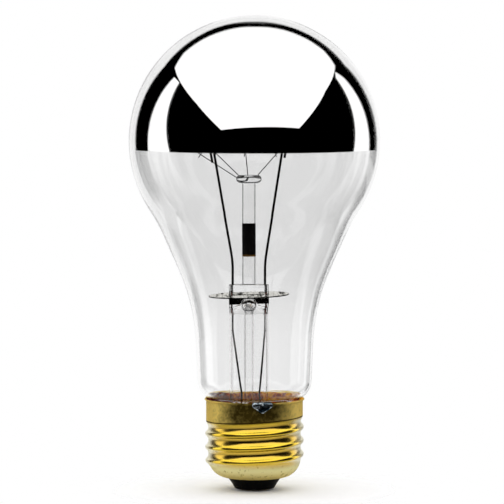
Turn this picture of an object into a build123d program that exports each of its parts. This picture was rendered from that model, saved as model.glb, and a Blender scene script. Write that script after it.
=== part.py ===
from build123d import *
import os
from math import acos, asin, atan2, cos, degrees, radians, sin, sqrt

# Half-mirror bulb with a screw cap. Millimetres and degrees, +Z up, z = 0 at the tip of the end contact.
# The bulb's axis is Z. The mount, which is the stem and all that it carries, stands a little off that axis.

# Blown bulb
bulb_d = 66.7
bulb_centre_z = 93.0
glass_wall = 0.7
shoulder_r = 40.0
cone_half_angle = 24.0
cone_inset = 1.05
waist_r = 55.0
neck_d = 30.4
neck_taper = 2.5
heel_r = 5.4
throat_r = 1.5
skirt_d = 22.4
seal_z = 19.5
rim_gap = 0.65

# Mirror coating on the inside of the crown
mirror_edge_z = 91.0
mirror_t = 0.1
mirror_gap = 0.05

# Stem: flare tube, press, exhaust port and exhaust tube
mount_x = -1.5
flare_d = 10.3
flare_wall = 0.5
flare_top_z = 47.2
press_w = 10.6
press_t = 4.0
press_foot_z = 49.7
press_top_z = 55.05
press_edge_r = 0.25
cavity_top_z = 48.7
port_ball_d = 4.3
port_ball_wall = 0.5
port_ball_y = -1.8
port_z = 49.6
port_d = 1.6
exhaust_d = 2.5
exhaust_wall = 0.35
exhaust_tip_z = 10.0
seal_margin = 0.1

# Arbor rod with its button, and the dark getter band painted on it
rod_d = 3.5
button_d = 6.8
button_z = 81.9
button_h = 2.1
getter_z = 62.5
getter_h = 8.9
getter_t = 0.06

# Heat shield: a stamped disc with a slot for the press and two tabs that grip it
shield_d = 21.4
shield_t = 0.3
shield_z = 52.0
shield_tilt = 1.8
shield_gap = 0.1
tab_h = 2.1

# Leads, from the filament's hooks down to the weld below the press
lead_spread = 8.6
inner_lead_d = 0.65
seal_wire_d = 0.45
seal_joint_z = 52.9
weld_z = 42.9
weld_bead_d = 0.66
weld_bead_drop = 0.25
lead_knee_z = 61.0
lead_knee_r = 25.0
hook_gap = 0.03
hook_flat = 0.02
hook_left_x = -9.85
hook_right_x = 9.4
hook_left_return = 3.6
hook_right_return = 2.3

# Filament and the wires that hold it up
filament_d = 0.5
filament_leg_d = 0.2
filament_leg = 1.1
filament_z = 90.9
filament_bend_r = 0.6
filament_ring_d = 29.4
support_d = 0.25
support_angles = (152.0, 127.0, 94.0, 60.0)
support_root_r = 1.6
support_root_z = 82.1
curl_r = 0.8
curl_step = 0.13
curl_outer = (1.8, -0.8)
curl_top = (0.25, 1.6)
curl_inner = (-1.7, 0.3)
curl_end = (0.5, -2.6)

# Outer leads, below the weld
outer_lead_d = 0.5
outer_lead_bend_r = 0.5
side_lead_low_x = -1.9
side_lead_foot_x = -2.3
tip_lead_low_x = 2.8
tip_lead_turn_x = 3.5
lead_low_z = 25.5
side_lead_cross_z = 17.3
tip_lead_turn_z = 14.0
tip_lead_axis_z = 8.0
side_lead_clearance = 0.1
side_lead_angle = -81.0

# Screw cap
thread_pitch = 3.629
thread_crest_d = 26.27
thread_root_d = 24.6
thread_start_z = 7.25
thread_start_angle = 90.0
thread_turns = 4
thread_land = 0.15
cap_sheet = 0.3
collar_d = 25.8
collar_foot_z = 17.65
lip_d = 26.7
lip_h = 0.6
cap_rim_z = 24.25
cap_eye_d = 14.4
cap_eye_z = 3.4
cement_rise = 0.6

# Insulator, end contact and solder
insulator_foot_d = 10.6
insulator_foot_z = 0.5
insulator_top_z = 6.2
insulator_side_sag = 0.08
eyelet_d = 8.0
eyelet_t = 0.3
eyelet_barrel_d = 2.0
eyelet_bore_d = 1.2
eyelet_barrel_h = 1.6
tip_solder_d = 4.8
side_solder_w = 5.6
side_solder_h = 3.2
side_solder_shoulder = 2.0
side_solder_t = 0.9
side_solder_corner_r = 0.7
side_solder_edge_r = 0.5

# Values that follow from the sizes above
crown_r = bulb_d / 2
flare_r = flare_d / 2
skirt_r = skirt_d / 2
root_r = thread_root_d / 2
collar_r = collar_d / 2
lip_r = lip_d / 2
mount_plane = Plane(origin=(mount_x, 0, 0))
mount_face = Plane(origin=(mount_x, 0, 0), x_dir=(1, 0, 0), z_dir=(0, -1, 0))
mount_axis = Axis((mount_x, 0, 0), (0, 0, 1))


def polar(centre, radius, angle):
    """Point at this radius and angle from a centre in a profile's plane."""
    return (centre[0] + radius * cos(radians(angle)), centre[1] + radius * sin(radians(angle)))


# Centres of the bulb's tangent arcs. They are the same for every surface that runs parallel to the glass.
# The heel's height follows from the gap that it leaves above the cap's rim.
crown_c = (0, bulb_centre_z)
cone_reach = crown_r - cone_inset
shoulder_angle = degrees(acos((cone_reach + shoulder_r) / (crown_r + shoulder_r)))
shoulder_c = polar(crown_c, crown_r + shoulder_r, -cone_half_angle - shoulder_angle)
heel_c_r = neck_d / 2 - heel_r * cos(radians(neck_taper))
heel_c = (heel_c_r, cap_rim_z + rim_gap + sqrt(heel_r**2 - (collar_r - heel_c_r) ** 2))
neck_z = heel_c[1] - heel_r * sin(radians(neck_taper))
neck_reach = cos(radians(neck_taper)) * neck_d / 2 + sin(radians(neck_taper)) * (bulb_centre_z - neck_z)
waist_turn = radians(cone_half_angle - neck_taper)
waist_out = neck_reach + waist_r
waist_down = (cone_reach + waist_r - waist_out * cos(waist_turn)) / sin(waist_turn)
waist_on_neck = polar(crown_c, waist_out, -neck_taper)
waist_c = polar(waist_on_neck, waist_down, -neck_taper - 90)
throat_c_r = skirt_r + throat_r
throat_c = (throat_c_r, heel_c[1] - sqrt((heel_r + throat_r) ** 2 - (throat_c_r - heel_c[0]) ** 2))
throat_angle = degrees(atan2(heel_c[1] - throat_c[1], throat_c[0] - heel_c[0]))


def draw_bulb_outline(inset):
    """Half outline of the bulb from the pole to the seal, moved inwards by inset."""
    cone_side = 180 - cone_half_angle
    neck_side = 180 - neck_taper
    CenterArc(crown_c, crown_r - inset, 90, -90 - cone_half_angle - shoulder_angle)
    CenterArc(shoulder_c, shoulder_r + inset, cone_side - shoulder_angle, shoulder_angle)
    Line(polar(shoulder_c, shoulder_r + inset, cone_side), polar(waist_c, waist_r + inset, cone_side))
    CenterArc(waist_c, waist_r + inset, cone_side, cone_half_angle - neck_taper)
    Line(polar(waist_c, waist_r + inset, neck_side), polar(heel_c, heel_r - inset, -neck_taper))
    CenterArc(heel_c, heel_r - inset, -neck_taper, neck_taper - throat_angle)
    CenterArc(throat_c, throat_r + inset, 180 - throat_angle, throat_angle)
    Line((skirt_r - inset, throat_c[1]), (skirt_r - inset, seal_z))


def draw_wire(points, bend_r, diameter):
    """Round wire along straight runs joined by tangent arcs."""
    with BuildLine() as run:
        FilletPolyline(*points, radius=bend_r)
    with BuildSketch(Plane(origin=run.line @ 0, z_dir=run.line % 0)) as section:
        Circle(diameter / 2)
    sweep(section.sketch, path=run.line)


def keep(piece, name):
    """Label a finished piece and write it to its own file."""
    piece.part.label = name
    export_step(piece.part, f"parts/{name}.step")


os.makedirs("parts", exist_ok=True)

# Blown glass bulb, one even wall from the crown to the seal
with BuildPart() as envelope:
    with BuildSketch(Plane.XZ):
        with BuildLine():
            draw_bulb_outline(0)
            draw_bulb_outline(glass_wall)
            Line((0, bulb_centre_z + crown_r), (0, bulb_centre_z + crown_r - glass_wall))
            Line((skirt_r, seal_z), (skirt_r - glass_wall, seal_z))
        make_face()
    revolve(axis=Axis.Z)
keep(envelope, "envelope")

# Mirror coating, a thin skin on the inside of the crown that ends a little below the widest section
with BuildPart() as mirror_coating:
    coat_r = crown_r - glass_wall - mirror_gap
    edge_drop = bulb_centre_z - mirror_edge_z
    with BuildSketch(Plane.XZ):
        with BuildLine():
            outside = CenterArc(crown_c, coat_r, 90, -90 - degrees(asin(edge_drop / coat_r)))
            inside_r = coat_r - mirror_t
            inside = CenterArc(crown_c, inside_r, 90, -90 - degrees(asin(edge_drop / inside_r)))
            Line(outside @ 0, inside @ 0)
            Line(outside @ 1, inside @ 1)
        make_face()
    revolve(axis=Axis.Z)
keep(mirror_coating, "mirror_coating")

# Glass stem: a tube flared to the seal, pinched flat round the leads, with the port that the air left by,
# which is blown out in front to a thin bubble with a hole in it
with BuildPart() as stem_flare:
    bore_r = flare_r - flare_wall
    foot_bend_r = skirt_r - glass_wall - abs(mount_x) - flare_r - seal_margin
    foot_c = (flare_r + foot_bend_r, seal_z + foot_bend_r)
    foot_reach = skirt_r + abs(mount_x) + seal_margin
    with BuildSketch(mount_face):
        with BuildLine():
            tube_end = [(bore_r, flare_top_z), (flare_r, flare_top_z)]
            Polyline((bore_r, foot_c[1]), *tube_end, (flare_r, foot_c[1]))
            CenterArc(foot_c, foot_bend_r, 180, 90)
            foot_low_z = seal_z - flare_wall
            rim = [(foot_reach, seal_z), (foot_reach, foot_low_z)]
            Polyline((foot_c[0], seal_z), *rim, (foot_c[0], foot_low_z))
            CenterArc(foot_c, foot_bend_r + flare_wall, 180, 90)
        make_face()
    revolve(axis=mount_axis)
    with BuildSketch(Plane.XY.offset(foot_low_z)):
        Circle(skirt_r)
    extrude(amount=flare_top_z - foot_low_z, mode=Mode.INTERSECT)
    with BuildSketch(mount_plane.offset(flare_top_z)):
        Circle(flare_r)
    with BuildSketch(mount_plane.offset(press_foot_z)):
        SlotOverall(press_w, press_t)
    loft()
    with BuildSketch(mount_plane.offset(press_foot_z)):
        SlotOverall(press_w, press_t)
    extrude(amount=press_top_z - press_foot_z)
    fillet(stem_flare.edges().group_by(Axis.Z)[-1], radius=press_edge_r)
    with Locations((mount_x, port_ball_y, port_z)):
        Sphere(port_ball_d / 2)
    with BuildSketch(mount_plane.offset(flare_top_z)):
        Circle(bore_r)
    with BuildSketch(mount_plane.offset(cavity_top_z)):
        SlotOverall(2 * bore_r, exhaust_d + 2 * seal_margin)
    loft(mode=Mode.SUBTRACT)
    with BuildSketch(mount_plane.offset(cavity_top_z)):
        Circle(exhaust_d / 2 - exhaust_wall)
    extrude(amount=port_z - cavity_top_z, mode=Mode.SUBTRACT)
    with Locations((mount_x, port_ball_y, port_z)):
        Sphere(port_ball_d / 2 - port_ball_wall, mode=Mode.SUBTRACT)
    with BuildSketch(Plane(origin=(mount_x, 0, port_z), z_dir=(0, -1, 0))):
        Circle(port_d / 2)
    extrude(amount=port_ball_d, mode=Mode.SUBTRACT)
    with BuildSketch(mount_plane.offset(flare_top_z)):
        with Locations((-lead_spread / 2, 0), (lead_spread / 2, 0)):
            Circle(seal_wire_d / 2)
    extrude(amount=seal_joint_z - flare_top_z, mode=Mode.SUBTRACT)
    with BuildSketch(mount_plane.offset(seal_joint_z)):
        with Locations((-lead_spread / 2, 0), (lead_spread / 2, 0)):
            Circle(inner_lead_d / 2)
    extrude(amount=press_top_z - seal_joint_z, mode=Mode.SUBTRACT)
keep(stem_flare, "stem_flare")

# Exhaust tube, open to the port above and melted shut at its tip inside the cap
with BuildPart() as exhaust_tube:
    tube_r = exhaust_d / 2
    tube_bore_r = tube_r - exhaust_wall
    tip_c = (0, exhaust_tip_z + tube_r)
    with BuildSketch(mount_face):
        with BuildLine():
            CenterArc(tip_c, tube_r, 270, 90)
            head = [(tube_r, cavity_top_z), (tube_bore_r, cavity_top_z)]
            Polyline((tube_r, tip_c[1]), *head, (tube_bore_r, tip_c[1]))
            CenterArc(tip_c, tube_bore_r, 270, 90)
            Line((0, exhaust_tip_z), (0, exhaust_tip_z + exhaust_wall))
        make_face()
    revolve(axis=mount_axis)
keep(exhaust_tube, "exhaust_tube")

# Wires that hold up the filament: each leaves the button in its own upright plane and ends in an open curl
filament_ring_r = filament_ring_d / 2
supports = []
for number, angle in enumerate(support_angles, start=1):
    outward = (cos(radians(angle)), sin(radians(angle)), 0)
    spoke = Plane(origin=(mount_x, 0, 0), x_dir=outward, z_dir=(0, 0, 1))
    run = [(support_root_r, 0, support_root_z)]
    for corner, (out, up) in enumerate((curl_outer, curl_top, curl_inner, curl_end)):
        run.append((filament_ring_r + out, (corner - 1.5) * curl_step, filament_z + up))
    with BuildPart() as support:
        draw_wire([spoke.from_local_coords(point) for point in run], curl_r, support_d)
    supports.append(support.part)
    keep(support, f"support_wire_{number}")

# Glass arbor rod that stands on the press, with the button that grips the support wires
with BuildPart() as arbor_rod:
    rod_r = rod_d / 2
    button_edge_r = button_h / 2
    button_flat_r = button_d / 2 - button_edge_r
    with BuildSketch(mount_face):
        with BuildLine():
            Polyline((0, press_top_z), (rod_r, press_top_z), (rod_r, button_z), (button_flat_r, button_z))
            CenterArc((button_flat_r, button_z + button_edge_r), button_edge_r, 270, 180)
            button_top_z = button_z + button_h
            Polyline((button_flat_r, button_top_z), (0, button_top_z), (0, press_top_z))
        make_face()
    revolve(axis=mount_axis)
    add(supports, mode=Mode.SUBTRACT)
keep(arbor_rod, "arbor_rod")

# Getter, a dark band painted round the rod
with BuildPart() as getter_band:
    with BuildSketch(mount_plane.offset(getter_z)):
        Circle(rod_d / 2 + getter_t)
        Circle(rod_d / 2, mode=Mode.SUBTRACT)
    extrude(amount=getter_h)
keep(getter_band, "getter_band")

# Heat shield, one stamping: the front tab is notched round the port's bulge
with BuildPart() as heat_shield:
    tilt = radians(shield_tilt)
    shield_plane = Plane(
        origin=(mount_x, 0, shield_z), x_dir=(cos(tilt), 0, sin(tilt)), z_dir=(-sin(tilt), 0, cos(tilt))
    )
    slot_t = press_t + 2 * shield_gap
    with BuildSketch(shield_plane):
        Circle(shield_d / 2)
        Rectangle(press_w + 2 * shield_gap, slot_t, mode=Mode.SUBTRACT)
    extrude(amount=shield_t)
    with BuildSketch(shield_plane):
        with Locations((0, slot_t / 2 + shield_t / 2), (0, -slot_t / 2 - shield_t / 2)):
            Rectangle(press_w, shield_t)
    extrude(amount=-tab_h)
    with BuildSketch(Plane(origin=(mount_x, 0, port_z), z_dir=(0, -1, 0))):
        Circle(port_ball_d / 2 + shield_gap)
    extrude(amount=press_w, mode=Mode.SUBTRACT)
keep(heat_shield, "heat_shield")

# Inner leads: upright through the press, then leaning out to a hook that is folded over the filament's end
lead_x = lead_spread / 2
hooks = {"left": (hook_left_x, hook_left_return), "right": (hook_right_x, hook_right_return)}
for side, (hook_x, hook_return) in hooks.items():
    sign = 1 if hook_x > 0 else -1
    knee = (sign * lead_x, lead_knee_z)
    lean = atan2(filament_z - knee[1], hook_x - knee[0])
    hook_r = (filament_leg_d + inner_lead_d) / 2 + hook_gap
    up = (hook_r * cos(lean), hook_r * sin(lean))
    out = (sign * up[1], -sign * up[0])
    near_corner = (hook_x - out[0] + up[0], filament_z - out[1] + up[1])
    far_corner = (hook_x + out[0] + up[0], filament_z + out[1] + up[1])
    hook_end = (hook_x + out[0] - hook_return * cos(lean), filament_z + out[1] - hook_return * sin(lean))
    route = [(sign * lead_x, seal_joint_z), knee, near_corner, far_corner, hook_end]
    with BuildPart() as inner_lead:
        hook_bend_r = hook_r - hook_flat
        bends = [lead_knee_r, hook_bend_r, hook_bend_r]
        draw_wire([(mount_x + x, 0, z) for x, z in route], bends, inner_lead_d)
    keep(inner_lead, f"inner_lead_{side}")

    # Seal wire of this lead, copper-clad, from inside the press to the weld below it
    with BuildPart() as seal_wire:
        with BuildSketch(mount_plane.offset(weld_z)):
            with Locations((sign * lead_x, 0)):
                Circle(seal_wire_d / 2)
        extrude(amount=seal_joint_z - weld_z)
    keep(seal_wire, f"seal_wire_{side}")

# Filament: the coil, drawn as its outside and strung through the curls, and a straight leg in each hook
with BuildPart() as filament:
    ring = [(filament_ring_r * cos(radians(a)), filament_ring_r * sin(radians(a))) for a in support_angles]
    coil = [(hook_left_x, filament_leg), *ring, (hook_right_x, filament_leg)]
    draw_wire([(mount_x + x, y, filament_z) for x, y in coil], filament_bend_r, filament_d)
    for hook_x in (hook_left_x, hook_right_x):
        leg_root = (mount_x + hook_x, filament_leg + filament_d / 2, filament_z)
        with BuildSketch(Plane(origin=leg_root, z_dir=(0, -1, 0))) as leg:
            Circle(filament_leg_d / 2)
        extrude(leg.sketch, amount=2 * filament_leg + filament_d / 2)
keep(filament, "filament")


def draw_weld_bead(x):
    """Bead of metal at the top of an outer lead, flat where it meets the seal wire."""
    with Locations((x, 0, weld_z - weld_bead_drop)):
        Sphere(weld_bead_d / 2)
    with BuildSketch(Plane.XY.offset(weld_z)) as top:
        with Locations((x, 0)):
            Circle(weld_bead_d)
    extrude(top.sketch, amount=weld_bead_d, mode=Mode.SUBTRACT)


# Outer lead to the side of the cap: down the flare, across below the seal, up in the collar, over its lip
lead_r = outer_lead_d / 2
with BuildPart() as outer_lead_side:
    wall_r = skirt_r + lead_r + side_lead_clearance
    over_z = cap_rim_z + lead_r + side_lead_clearance
    rise = [(wall_r, side_lead_cross_z), (wall_r, throat_c[1] - throat_r / 2)]
    rise += [(lip_r, over_z + throat_r / 4), (lip_r + 2 * lead_r, over_z - throat_r / 2)]
    heading = (cos(radians(side_lead_angle)), sin(radians(side_lead_angle)))
    weld_x = mount_x - lead_x
    drop = [(weld_x, 0, weld_z - weld_bead_drop), (mount_x + side_lead_low_x, 0, lead_low_z)]
    drop.append((mount_x + side_lead_foot_x, 0, side_lead_cross_z))
    climb = [(r * heading[0], r * heading[1], z) for r, z in rise]
    draw_wire(drop + climb, outer_lead_bend_r, outer_lead_d)
    draw_weld_bead(weld_x)
keep(outer_lead_side, "outer_lead_side")

# Outer lead to the end contact: down the flare, past the exhaust tip, then along the cap's axis
with BuildPart() as outer_lead_tip:
    weld_x = mount_x + lead_x
    drop = [(weld_x, 0, weld_z - weld_bead_drop), (mount_x + tip_lead_low_x, 0, lead_low_z)]
    drop.append((mount_x + tip_lead_turn_x, 0, tip_lead_turn_z))
    drop += [(0, 0, tip_lead_axis_z), (0, 0, insulator_foot_z)]
    draw_wire(drop, outer_lead_bend_r, outer_lead_d)
    draw_weld_bead(weld_x)
keep(outer_lead_tip, "outer_lead_tip")

# Rolled thread: crest and root are equal arcs, tangent to each other a quarter pitch apart
crest_r = thread_crest_d / 2
thread_h = crest_r - root_r
thread_arc_r = (thread_h**2 + (thread_pitch / 2) ** 2) / (4 * thread_h)
thread_flank = degrees(asin(thread_pitch / 4 / thread_arc_r))
eye_r = cap_eye_d / 2
dome_r = root_r - eye_r
dome_c = (eye_r, cap_eye_z + dome_r)


def draw_cap_form(inset, overrun):
    """Solid form of the cap, moved inwards by inset: dome, threaded barrel, collar and lip with overrun."""
    foot_z = thread_start_z + inset
    head_z = collar_foot_z - inset
    top_z = cap_rim_z + overrun
    top_r = lip_r - inset + overrun * (lip_r - collar_r) / lip_h
    with BuildSketch(Plane.YZ) as blank:
        with BuildLine():
            dome_turn = degrees(acos((dome_c[1] - foot_z) / (dome_r - inset)))
            dome = CenterArc(dome_c, dome_r - inset, 270, dome_turn)
            barrel = [dome @ 1, (crest_r - inset, foot_z), (crest_r - inset, head_z)]
            collar = [(collar_r - inset, head_z), (collar_r - inset, cap_rim_z - lip_h), (top_r, top_z)]
            Polyline(*barrel, *collar, (0, top_z), (0, cap_eye_z + inset), dome @ 0)
        make_face()
    revolve(blank.sketch, axis=Axis.Z)
    half_w = thread_pitch / 2 - thread_land
    toe_angle = degrees(asin(thread_land / (thread_arc_r - inset)))
    clear_r = crest_r + thread_h
    for turn in range(thread_turns):
        turn_z = thread_start_z + (turn - 0.5) * thread_pitch
        with BuildLine() as path:
            Helix(thread_pitch, thread_pitch, root_r, center=(0, 0, turn_z))
        with BuildSketch(Plane(origin=(0, 0, turn_z), x_dir=(1, 0, 0), z_dir=(0, -1, 0))) as groove:
            with BuildLine():
                root_c = (root_r + thread_arc_r, 0)
                CenterArc(root_c, thread_arc_r + inset, 180 - thread_flank, 2 * thread_flank)
                for sign in (-1, 1):
                    crest_c = (crest_r - thread_arc_r, sign * thread_pitch / 2)
                    crest_turn = sign * (thread_flank - toe_angle)
                    CenterArc(crest_c, thread_arc_r - inset, -sign * thread_flank, crest_turn)
                    toe = polar(crest_c, thread_arc_r - inset, -sign * toe_angle)
                    Line(toe, (clear_r, toe[1]))
                Line((clear_r, -half_w), (clear_r, half_w))
            make_face()
        sweep(groove.sketch, path=path.line, is_frenet=True, mode=Mode.SUBTRACT)


with BuildPart() as cap_outside:
    draw_cap_form(0, 0)
with BuildPart() as cap_inside:
    draw_cap_form(cap_sheet, lip_h)
thread_turned = (0, 0, thread_start_angle)

# Screw shell, one cup of brass sheet with the thread rolled into it and an eye for the insulator
with BuildPart() as screw_shell:
    add(cap_outside.part, rotation=thread_turned)
    add(cap_inside.part, rotation=thread_turned, mode=Mode.SUBTRACT)
    with BuildSketch(Plane.XY.offset(cap_eye_z)):
        Circle(eye_r)
    extrude(amount=2 * cap_sheet, mode=Mode.SUBTRACT)
keep(screw_shell, "screw_shell")

# Insulator, dark glass poured into the dome and moulded to a stub that carries the end contact
barrel_r = eyelet_barrel_d / 2
with BuildPart() as insulator:
    seat_r = dome_r - cap_sheet
    seat_angle = degrees(asin((dome_c[1] - insulator_top_z) / seat_r))
    foot_r = insulator_foot_d / 2
    eyelet_top_z = insulator_foot_z + eyelet_t
    with BuildSketch(Plane.XZ):
        with BuildLine():
            side = Line((foot_r, insulator_foot_z), (eye_r, cap_eye_z), mode=Mode.PRIVATE)
            mid = side @ 0.5
            bow = insulator_side_sag / side.length
            sag_point = (mid.X - bow * (cap_eye_z - insulator_foot_z), mid.Y + bow * (eye_r - foot_r))
            ThreePointArc((foot_r, insulator_foot_z), sag_point, (eye_r, cap_eye_z))
            Line((eye_r, cap_eye_z), (eye_r, cap_eye_z + cap_sheet))
            seat = CenterArc(dome_c, seat_r, 270, 90 - seat_angle)
            bore = [(barrel_r, insulator_top_z), (barrel_r, eyelet_top_z), (eyelet_d / 2, eyelet_top_z)]
            Polyline(seat @ 1, *bore, (eyelet_d / 2, insulator_foot_z), (foot_r, insulator_foot_z))
        make_face()
    revolve(axis=Axis.Z)
keep(insulator, "insulator")

# End contact, a brass eyelet let into the insulator's foot
with BuildPart() as contact_eyelet:
    with BuildSketch(Plane.XY.offset(insulator_foot_z)):
        Circle(eyelet_d / 2)
    extrude(amount=eyelet_t)
    with BuildSketch(Plane.XY.offset(eyelet_top_z)):
        Circle(barrel_r)
    extrude(amount=eyelet_barrel_h)
    with BuildSketch(Plane.XY.offset(insulator_foot_z)):
        Circle(eyelet_bore_d / 2)
    extrude(amount=eyelet_t + eyelet_barrel_h, mode=Mode.SUBTRACT)
keep(contact_eyelet, "contact_eyelet")

# Solder on the end contact, a low dome over the lead's end
with BuildPart() as tip_solder:
    with BuildSketch(Plane.XZ):
        with BuildLine():
            tip_ends = [(-tip_solder_d / 2, insulator_foot_z), (tip_solder_d / 2, insulator_foot_z)]
            ThreePointArc(tip_ends[0], (0, 0), tip_ends[1])
            Line(*tip_ends)
        make_face()
        split(bisect_by=Plane.YZ)
    revolve(axis=Axis.Z)
keep(tip_solder, "tip_solder")

# Basing cement that bonds the glass skirt into the collar and fills the gap between the rim and the heel
with BuildPart() as basing_cement:
    with BuildSketch(Plane.XZ):
        with BuildLine():
            cement_foot_z = seal_z - flare_wall
            cement_top_z = cap_rim_z + cement_rise
            cement_r = lip_r - cap_sheet
            left = [(skirt_r / 2, cement_foot_z), (skirt_r / 2, cement_top_z)]
            Polyline(*left, (cement_r, cement_top_z), (cement_r, cement_foot_z), close=True)
        make_face()
        with BuildLine():
            draw_bulb_outline(0)
            Polyline((skirt_r, seal_z), (skirt_r, 0), (0, 0), (0, bulb_centre_z + crown_r))
        make_face(mode=Mode.SUBTRACT)
    revolve(axis=Axis.Z)
    add(cap_inside.part, rotation=thread_turned, mode=Mode.INTERSECT)
    add(outer_lead_side.part, mode=Mode.SUBTRACT)
keep(basing_cement, "basing_cement")

# Solder that ties the side lead to the collar, a rounded three-cornered blob under the lip
with BuildPart() as side_solder:
    blob_r = collar_r - cap_sheet / 2
    blob_z = cap_rim_z + outer_lead_d - side_solder_h
    blob_c = (blob_r * heading[0], blob_r * heading[1], blob_z)
    along_rim = (-heading[1], heading[0], 0)
    blob_plane = Plane(origin=blob_c, x_dir=along_rim, z_dir=(heading[0], heading[1], 0))
    with BuildSketch(blob_plane) as blob:
        half_w = side_solder_w / 2
        right_side = [(0, 0), (half_w, side_solder_shoulder), (half_w, side_solder_h)]
        Polygon(*right_side, (-half_w, side_solder_h), (-half_w, side_solder_shoulder), align=None)
        fillet(blob.vertices(), radius=side_solder_corner_r)
    extrude(amount=side_solder_t + cap_sheet / 2)
    front = side_solder.faces().sort_by(Axis(blob_c, blob_plane.z_dir))[-1]
    fillet(front.edges(), radius=side_solder_edge_r)
    add(cap_outside.part, rotation=thread_turned, mode=Mode.SUBTRACT)
    add(outer_lead_side.part, mode=Mode.SUBTRACT)
    add(basing_cement.part, mode=Mode.SUBTRACT)
    add(envelope.part, mode=Mode.SUBTRACT)
keep(side_solder, "side_solder")
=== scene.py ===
from math import acos, asin, atan2, cos, degrees, pi, radians, sin, sqrt

import bmesh
import bpy
import numpy as np
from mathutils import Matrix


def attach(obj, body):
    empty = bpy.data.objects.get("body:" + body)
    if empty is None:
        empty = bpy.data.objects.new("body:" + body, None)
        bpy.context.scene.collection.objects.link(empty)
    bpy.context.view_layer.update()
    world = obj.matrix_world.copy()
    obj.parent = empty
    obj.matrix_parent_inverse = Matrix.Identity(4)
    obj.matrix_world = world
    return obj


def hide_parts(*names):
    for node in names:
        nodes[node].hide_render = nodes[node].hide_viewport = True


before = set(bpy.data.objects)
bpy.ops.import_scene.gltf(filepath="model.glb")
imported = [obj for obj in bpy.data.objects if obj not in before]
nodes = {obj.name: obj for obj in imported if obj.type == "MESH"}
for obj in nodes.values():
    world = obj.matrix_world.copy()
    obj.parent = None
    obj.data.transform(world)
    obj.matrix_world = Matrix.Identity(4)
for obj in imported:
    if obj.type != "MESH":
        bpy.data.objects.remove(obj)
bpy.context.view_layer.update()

# Stem, exhaust tube and rod
# The stem is a flared tube of clear lead glass, pinched flat round the leads while it is soft. The exhaust
# tube is melted in under the pinch and the rod on top of it. Drawn glass keeps faint waves along its length.


def new_material(name):
    """Material with a node tree, its Principled shader already joined to the output."""
    material = bpy.data.materials.new(name)
    material.use_nodes = True
    tree = material.node_tree
    return material, tree, tree.nodes["Principled BSDF"]


def add_node(tree, kind, settings=None, values=None):
    """Node of this kind with its own settings and the values of its unlinked sockets."""
    node = tree.nodes.new(kind)
    for name, value in (settings or {}).items():
        setattr(node, name, value)
    for socket, value in (values or {}).items():
        node.inputs[socket].default_value = value
    return node


def set_values(node, values):
    """Constant values on a node's own sockets."""
    for socket, value in values.items():
        node.inputs[socket].default_value = value


def calc(tree, operation, values=None, clamp=False):
    """Node that works out one number from the numbers at its sockets."""
    return add_node(tree, "ShaderNodeMath", {"operation": operation, "use_clamp": clamp}, values)


def calc_vector(tree, operation, values=None):
    """Node that works out a vector, or a length, from the vectors at its sockets."""
    return add_node(tree, "ShaderNodeVectorMath", {"operation": operation}, values)


def ramp(tree, low, high, at_low=0.0, at_high=1.0, shape="LINEAR"):
    """Number that goes from at_low to at_high while its input goes from low to high, and stops there."""
    limits = {1: low, 2: high, 3: at_low, 4: at_high}
    return add_node(tree, "ShaderNodeMapRange", {"interpolation_type": shape}, limits)


def soft_ramp(tree, low, high, at_low=0.0, at_high=1.0):
    """Ramp that eases in and out."""
    return ramp(tree, low, high, at_low, at_high, "SMOOTHSTEP")


def mix_tones(tree, first=None, second=None):
    """Blend of two colours. A colour that isn't given here comes in through a link."""
    given = {socket: tone for socket, tone in ((6, first), (7, second)) if tone}
    return add_node(tree, "ShaderNodeMix", {"data_type": "RGBA"}, given)


def dress(name, material):
    """A CAD node keeps its mesh and takes a finished material."""
    nodes[name].data.materials.clear()
    nodes[name].data.materials.append(material)


def let_lamps_through(tree, shader):
    """Clear glass casts no dark shadow: shadow rays pass, all other rays are bent."""
    ray = add_node(tree, "ShaderNodeLightPath")
    clear = add_node(tree, "ShaderNodeBsdfTransparent", values={"Color": (0.94, 0.95, 0.95, 1)})
    choose = add_node(tree, "ShaderNodeMixShader")
    tree.links.new(ray.outputs["Is Shadow Ray"], choose.inputs[0])
    tree.links.new(shader.outputs[0], choose.inputs[1])
    tree.links.new(clear.outputs[0], choose.inputs[2])
    tree.links.new(choose.outputs[0], tree.nodes["Material Output"].inputs["Surface"])


glass_waves = bpy.data.node_groups.new("glass waves", "ShaderNodeTree")
glass_waves.interface.new_socket("Across", in_out="INPUT", socket_type="NodeSocketFloat")
glass_waves.interface.new_socket("Along", in_out="INPUT", socket_type="NodeSocketFloat")
glass_waves.interface.new_socket("Height", in_out="OUTPUT", socket_type="NodeSocketFloat")
wave_in = add_node(glass_waves, "NodeGroupInput")
wave_out = add_node(glass_waves, "NodeGroupOutput")
wave_place = add_node(glass_waves, "ShaderNodeTexCoord")
wave_scale = add_node(glass_waves, "ShaderNodeCombineXYZ")
wave_stretch = calc_vector(glass_waves, "MULTIPLY")
wave_noise = add_node(glass_waves, "ShaderNodeTexNoise")
set_values(wave_noise, {"Scale": 1.0, "Detail": 1.0, "Roughness": 0.4})
glass_waves.links.new(wave_in.outputs["Across"], wave_scale.inputs["X"])
glass_waves.links.new(wave_in.outputs["Across"], wave_scale.inputs["Y"])
glass_waves.links.new(wave_in.outputs["Along"], wave_scale.inputs["Z"])
glass_waves.links.new(wave_place.outputs["Object"], wave_stretch.inputs[0])
glass_waves.links.new(wave_scale.outputs[0], wave_stretch.inputs[1])
glass_waves.links.new(wave_stretch.outputs[0], wave_noise.inputs["Vector"])
glass_waves.links.new(wave_noise.outputs["Fac"], wave_out.inputs["Height"])
port_at, bubble_r = (-0.0015, -0.0018, 0.0496), 0.0022
button_z = 0.0817


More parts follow.
